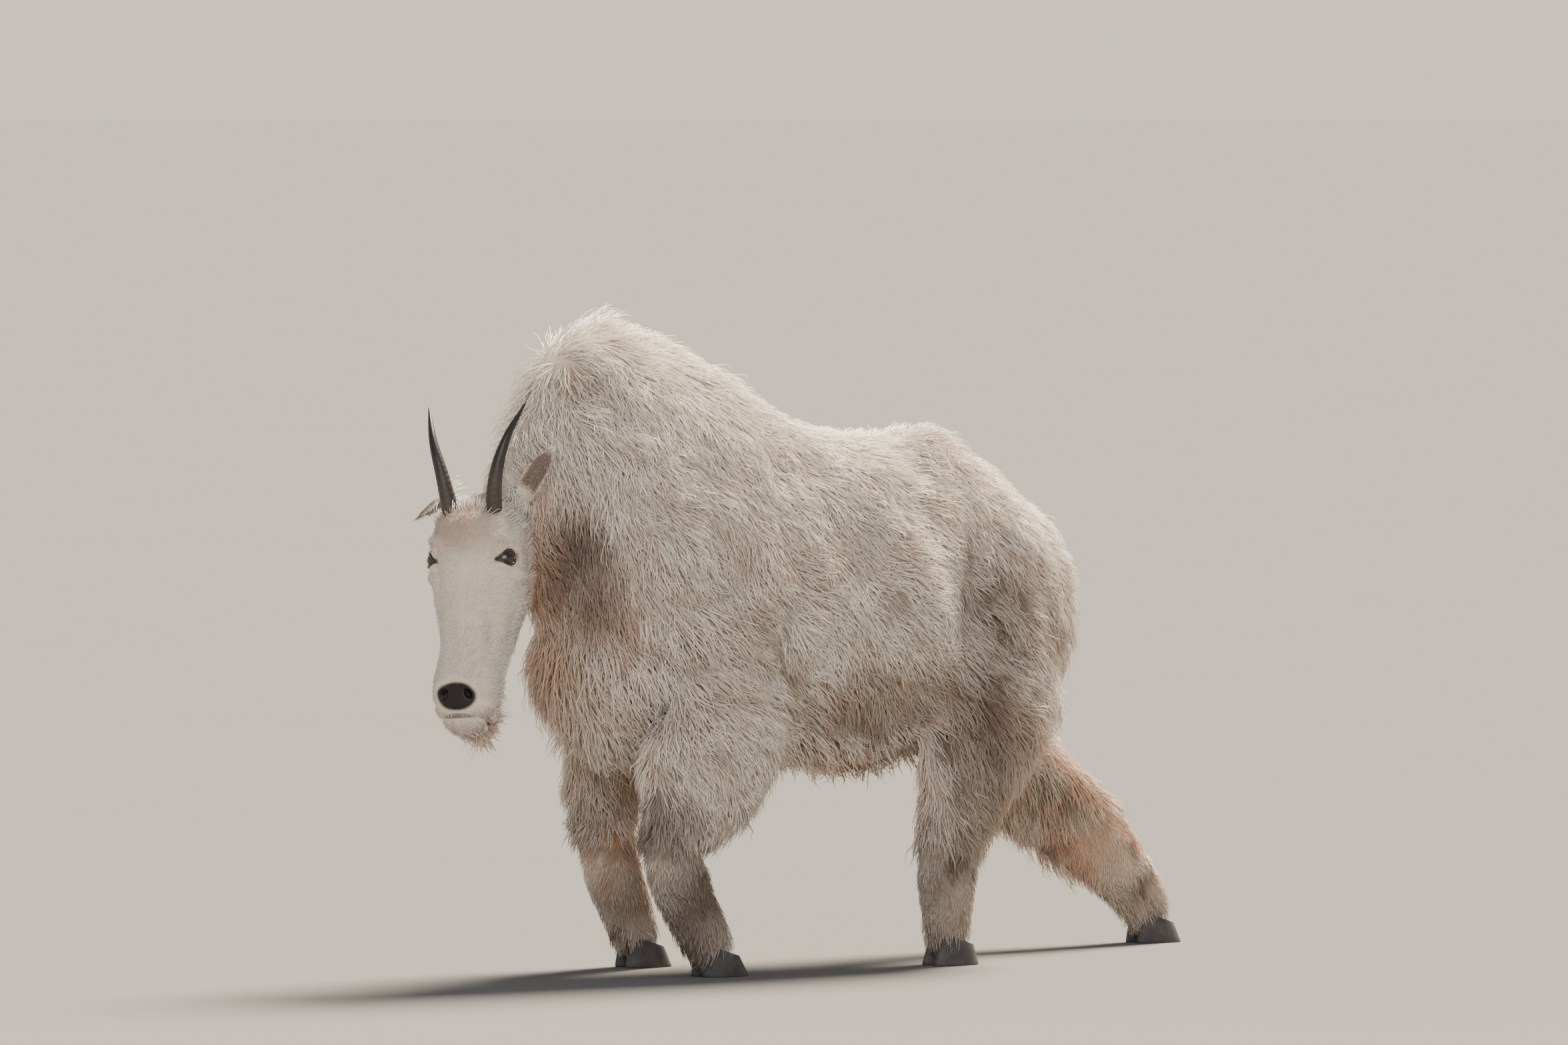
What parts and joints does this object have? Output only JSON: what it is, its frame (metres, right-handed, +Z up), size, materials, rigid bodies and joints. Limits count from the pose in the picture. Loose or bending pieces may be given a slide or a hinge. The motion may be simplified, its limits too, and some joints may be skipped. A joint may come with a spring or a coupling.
{
  "type": "mountain goat",
  "caption": "Life-size mountain goat walking with its head low and turned to its left, one hind leg stretched back, in a shaggy cream-white coat with slender black horns.",
  "frame": {"origin": "on the floor, under the middle of the animal's box", "axes": "+Z up; the goat faces -Y with its left side towards +X; +Y runs along the body to the hindmost hoof"},
  "size_m": [0.4106, 1.559, 1.0522],
  "materials": {
    "coat": "dense cream-white wool, dirty and moulting",
    "face": "short white hair over skin",
    "shank": "short soiled hair of the lower legs",
    "ear": "short hair outside, dark skin in the cup",
    "nose": "bare black skin",
    "eye": "wet, dark brown",
    "horn": "black-brown horn with rings at the base",
    "hoof": "slate-black horn, worn"
  },
  "bodies": {
    "root": {"leg_fore_left_upper": "coat", "leg_fore_left_lower": "shank", "hoof_fore_left": "hoof", "leg_fore_right_upper": "coat", "leg_fore_right_lower": "shank", "hoof_fore_right": "hoof", "leg_hind_left_upper": "coat", "leg_hind_left_lower": "shank", "hoof_hind_left": "hoof", "leg_hind_right_upper": "coat", "leg_hind_right_lower": "shank", "hoof_hind_right": "hoof", "torso": "coat", "neck": "coat", "head": "face", "nose": "nose", "tail": "coat", "eye_left": "eye", "horn_left": "horn", "ear_left": "ear", "eye_right": "eye", "horn_right": "horn", "ear_right": "ear"}
  },
  "joints": []
}
